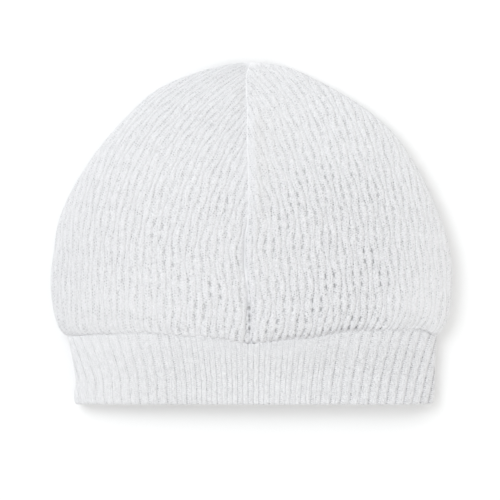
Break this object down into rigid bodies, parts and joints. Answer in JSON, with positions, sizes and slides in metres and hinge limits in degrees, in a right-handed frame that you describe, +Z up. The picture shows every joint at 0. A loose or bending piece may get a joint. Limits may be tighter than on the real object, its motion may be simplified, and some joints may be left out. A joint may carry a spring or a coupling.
{
  "type": "beanie",
  "caption": "Soft baby beanie in openwork rib knit, its crown closed by a seam over the head, with a doubled rib band round the opening, lying flat.",
  "frame": {"origin": "middle of the bounding box in plan, on the surface the beanie lies on", "axes": "+Z up from the surface, +Y from the opening to the top of the crown, +X to the right seen from above"},
  "size_m": [0.1694, 0.144, 0.0206],
  "materials": {
    "crown_knit": "matt white cotton, openwork rib knit with small eyelets in staggered groups",
    "band_rib": "matt white cotton, fine two-by-two rib knit, folded double"
  },
  "bodies": {
    "root": {"crown_left": "crown_knit", "crown_right": "crown_knit", "rib_band": "band_rib"}
  },
  "joints": []
}
